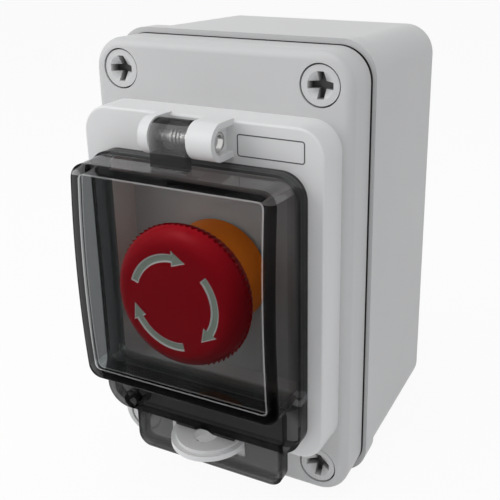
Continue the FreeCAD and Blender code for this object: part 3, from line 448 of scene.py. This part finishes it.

# The tint, where a later row lies over the earlier ones. The dark rows for the rim, flange edge, arm's web
# and end, hem, lip and boss are painted shade, and the clear row just inside the rim is a painted highlight
# line.
smoke, full_red = 0.42, 1
tint_and_painted_light = None
for places, clearness, red in ((on_dome, 0.54, full_red),
                               (on_front, 0.60, 0.95),
                               (both(on_top, behind_front), 1.0, 0.98),
                               (by_rim, 1.0, full_red),
                               (on_rim, 0.02, full_red),
                               (both(on_top, on_rim), 0.5, full_red),
                               (on_floor, 1.0, 0.95),
                               (on_flange_rim, 0.22, full_red),
                               (on_arm, 0.68, full_red),
                               (on_web, 0.24, full_red),
                               (on_arm_end, 0.15, full_red),
                               (on_apron, 0.31, full_red),
                               (on_hem, 0.12, full_red),
                               (on_lip, 0.05, full_red),
                               (on_boss, 0.12, full_red)):
    layer = smoked_tree.nodes.new("ShaderNodeMix")
    layer.data_type = "RGBA"
    layer.inputs["A"].default_value = (smoke, smoke, smoke, 1)
    layer.inputs["B"].default_value = (clearness * red, clearness, clearness, 1)
    smoked_tree.links.new(places, layer.inputs["Factor"])
    if tint_and_painted_light:
        smoked_tree.links.new(tint_and_painted_light, layer.inputs["A"])
    tint_and_painted_light = layer.outputs["Result"]
smoked_tree.links.new(tint_and_painted_light, smoked_shader.inputs["Base Color"])

polished, frosting = 0.03, 0.22
frost_loss, glint_loss = -0.1, -0.2
frosted = reckoned("MAXIMUM", on_arm, on_apron)
cover_roughness = reckoned("MULTIPLY_ADD", frosted, frosting, polished)
past_frost = reckoned("MULTIPLY_ADD", frosted, frost_loss, 1)
# The painted light line inside the rim lets less light through, so its white colour shows as a painted
# highlight.
let_through = reckoned("MULTIPLY_ADD", painted_light_line, glint_loss, past_frost)
smoked_tree.links.new(cover_roughness, smoked_shader.inputs["Roughness"])
smoked_tree.links.new(let_through, smoked_shader.inputs["Transmission Weight"])
smoked_tree.links.new(reckoned("MAXIMUM", on_roof, on_floor), smoked_shader.inputs["Coat Weight"])

# The colour deepens along thick walls, and lamps shine through by a set share, to light the button.
smoked_depth = smoked_tree.nodes.new("ShaderNodeVolumeAbsorption")
smoked_depth.inputs["Color"].default_value = (0.02, 0.02, 0.03, 1)
smoked_depth.inputs["Density"].default_value = 150
lamp_light = smoked_tree.nodes.new("ShaderNodeMix")
lamp_light.data_type = "RGBA"
lamp_light.inputs["A"].default_value = (0.80, 0.80, 0.80, 1)
lamp_light.inputs["B"].default_value = (1.0, 1.0, 1.0, 1)
smoked_path = smoked_tree.nodes.new("ShaderNodeLightPath")
smoked_pass = smoked_tree.nodes.new("ShaderNodeBsdfTransparent")
smoked_mix = smoked_tree.nodes.new("ShaderNodeMixShader")
smoked_out = smoked_tree.nodes["Material Output"]
smoked_tree.links.new(reckoned("MAXIMUM", on_top, on_apron), lamp_light.inputs["Factor"])
smoked_tree.links.new(lamp_light.outputs["Result"], smoked_pass.inputs["Color"])
smoked_tree.links.new(smoked_path.outputs["Is Shadow Ray"], smoked_mix.inputs[0])
smoked_tree.links.new(smoked_shader.outputs[0], smoked_mix.inputs[1])
smoked_tree.links.new(smoked_pass.outputs[0], smoked_mix.inputs[2])
smoked_tree.links.new(smoked_mix.outputs[0], smoked_out.inputs["Surface"])
smoked_tree.links.new(smoked_depth.outputs[0], smoked_out.inputs["Volume"])
dress("flip_cover", smoked)

# Button body behind the frame: an orange collar and a black barrel, both moulded plastic. The barrel goes
# through the lid over a rubber gasket, and a ring nut clamps it from inside.
collar_orange = moulded("collar_orange", pale=(0.95, 0.22, 0.012), deep=(0.90, 0.205, 0.011), roughness=0.38,
                        grain=0.0006, relief=0.00003, gloss=0.1)
body_black = moulded("body_black", pale=(0.035, 0.035, 0.036), deep=(0.022, 0.022, 0.023), roughness=0.45,
                     grain=0.0006, relief=0.00003)
dress("button_gasket", seal_black)
dress("button_collar", collar_orange)
dress("button_barrel", body_black)
dress("lock_nut", body_black)


# Stem and return spring: a black moulded rod that carries the cap, and a coil of steel wire between the
# stem's shoulder and the barrel's floor. The coil stays on its floor.
def pressed(node):
    """A copy of a coil spring in bright steel, carried by the enclosure."""
    wire = bmesh.new()
    wire.from_mesh(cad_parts[node].data)
    bmesh.ops.remove_doubles(wire, verts=wire.verts, dist=1e-6)
    bmesh.ops.recalc_face_normals(wire, faces=wire.faces)
    wire_mesh = bpy.data.meshes.new(f"{node}_wire")
    wire.to_mesh(wire_mesh)
    for face in wire_mesh.polygons:
        face.use_smooth = True
    coil = bpy.data.objects.new(f"{node}_wire", wire_mesh)
    scene.collection.objects.link(coil)
    coil.data.materials.append(bright_steel)
    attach(coil, "enclosure")
    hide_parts(node)
    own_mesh(coil)


dress("button_stem", body_black)
pressed("return_spring")

# Mushroom cap: glossy red plastic, moulded in one piece with fine teeth round its rim to grip, and carried
# by the stem. A soft lamp above it lights its shoulder.
cap_red = moulded("cap_red", pale=(0.30, 0.005, 0.011), deep=(0.27, 0.004, 0.009), roughness=0.36,
                  grain=0.0005, relief=0.000004, gloss=0.2)
cap_shader = cap_red.node_tree.nodes["Principled BSDF"]
cap_shader.inputs["Specular Tint"].default_value = (0.9, 0.1, 0.12, 1)
dress("button_cap", cap_red)
cap_low, cap_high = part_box("button_cap")
cap_centre = (cap_low + cap_high) / 2
cap_radius = (cap_high.x - cap_low.x) / 2
tooth_count, tooth_half_size, tooth_lean = 72, (0.0006, 0.0028, 0.0005), -26
tooth_from_back, tooth_sunk = 0.0030, 0.0007
grip = bmesh.new()
bmesh.ops.create_uvsphere(grip, u_segments=8, v_segments=6, radius=1)
bmesh.ops.scale(grip, verts=grip.verts, vec=tooth_half_size)
bmesh.ops.rotate(grip, verts=grip.verts, cent=(0, 0, 0),
                 matrix=Matrix.Rotation(math.radians(tooth_lean), 3, "X"))
bmesh.ops.translate(grip, verts=grip.verts,
                    vec=(cap_centre.x, cap_high.y - tooth_from_back, cap_centre.z + cap_radius - tooth_sunk))
bmesh.ops.spin(grip, geom=grip.verts[:] + grip.edges[:] + grip.faces[:], cent=cap_centre, axis=(0, 1, 0),
               angle=math.radians(360 * (tooth_count - 1) / tooth_count), steps=tooth_count - 1,
               use_duplicate=True)
grip_mesh = bpy.data.meshes.new("cap_grip")
grip.to_mesh(grip_mesh)
for face in grip_mesh.polygons:
    face.use_smooth = True
cap_grip = bpy.data.objects.new("cap_grip", grip_mesh)
scene.collection.objects.link(cap_grip)
cap_grip.data.materials.append(cap_red)
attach(cap_grip, "cap")
strip = bpy.data.lights.new("cap_strip", "AREA")
strip.shape = "RECTANGLE"
strip.size = 0.3
strip.size_y = 0.2
strip.energy = 9
strip_spot, strip_aim = Vector((-0.18, -0.26, 0.46)), Vector((0, -0.09, 0))
strip_holder = bpy.data.objects.new("cap_strip", strip)
strip_holder.location = strip_spot
strip_holder.rotation_euler = (strip_aim - strip_spot).to_track_quat("-Z", "Y").to_euler()
strip_holder.visible_camera = False
strip_holder.visible_transmission = False
scene.collection.objects.link(strip_holder)
lit_by_strip = bpy.data.collections.new("lit_by_strip")
lit_by_strip.objects.link(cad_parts["button_cap"])
strip_holder.light_linking.receiver_collection = lit_by_strip

# Three twist arrows in the crown of the cap: pale paint, filled into hollows of the moulding, with an edge
# that stands a little proud round each. The edge is coloured near-white, a painted highlight where it
# catches the light.
arrow_paint = moulded("arrow_paint", pale=(0.46, 0.51, 0.43), deep=(0.38, 0.43, 0.36), roughness=0.55,
                      grain=0.0004, relief=0.00002)
# Near-white edge colour: a painted highlight on the raised edge of each arrow.
arrow_highlight_edge = moulded("arrow_highlight_edge", pale=(0.95, 0.94, 0.91), deep=(0.90, 0.89, 0.86), roughness=0.5,
                     grain=0.0004, relief=0.00001)
edge_width, edge_height, edge_place, facing_front = 0.0004, 0.00025, 1, -0.9
inlays = bmesh.new()
inlays.from_mesh(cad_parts["arrow_inlays"].data)
bmesh.ops.remove_doubles(inlays, verts=inlays.verts, dist=1e-6)
bmesh.ops.dissolve_limit(inlays, angle_limit=math.radians(2), verts=inlays.verts, edges=inlays.edges)
bmesh.ops.recalc_face_normals(inlays, faces=inlays.faces)
fills = [face for face in inlays.faces if face.normal.y < facing_front]
borders = bmesh.ops.inset_individual(inlays, faces=fills, thickness=edge_width)["faces"]
sunk = {vert for face in fills for vert in face.verts}
lifted = {vert for face in borders for vert in face.verts} - sunk
bmesh.ops.translate(inlays, verts=list(lifted), vec=(0, -edge_height, 0))
for face in borders:
    face.material_index = edge_place
arrow_mesh = bpy.data.meshes.new("arrow_paint_fill")
inlays.to_mesh(arrow_mesh)
arrow_fill = bpy.data.objects.new("arrow_paint_fill", arrow_mesh)
scene.collection.objects.link(arrow_fill)
arrow_fill.data.materials.append(arrow_paint)
arrow_fill.data.materials.append(arrow_highlight_edge)
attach(arrow_fill, "cap")
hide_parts("arrow_inlays")

# Contact blocks behind the button: dark grey moulded housings on a black carrier that holds them to the
# barrel. In each a black pusher moves a brass bridge against a steel spring. The fixed contacts are brass
# too, with steel clamp screws.
contact_grey = moulded("contact_grey", pale=(0.16, 0.165, 0.17), deep=(0.12, 0.125, 0.13), roughness=0.5,
                       grain=0.0006, relief=0.00003)
brass = drawn("brass", tone=(0.78, 0.57, 0.25), roughness=0.30)
dress("contact_carrier", body_black)
dress("contact_block_left", contact_grey)
dress("contact_block_right", contact_grey)
dress("contact_plungers", body_black)
dress("contact_bridges", brass)
pressed("contact_springs")
dress("terminals", brass)
dress("terminal_screws", bright_steel)
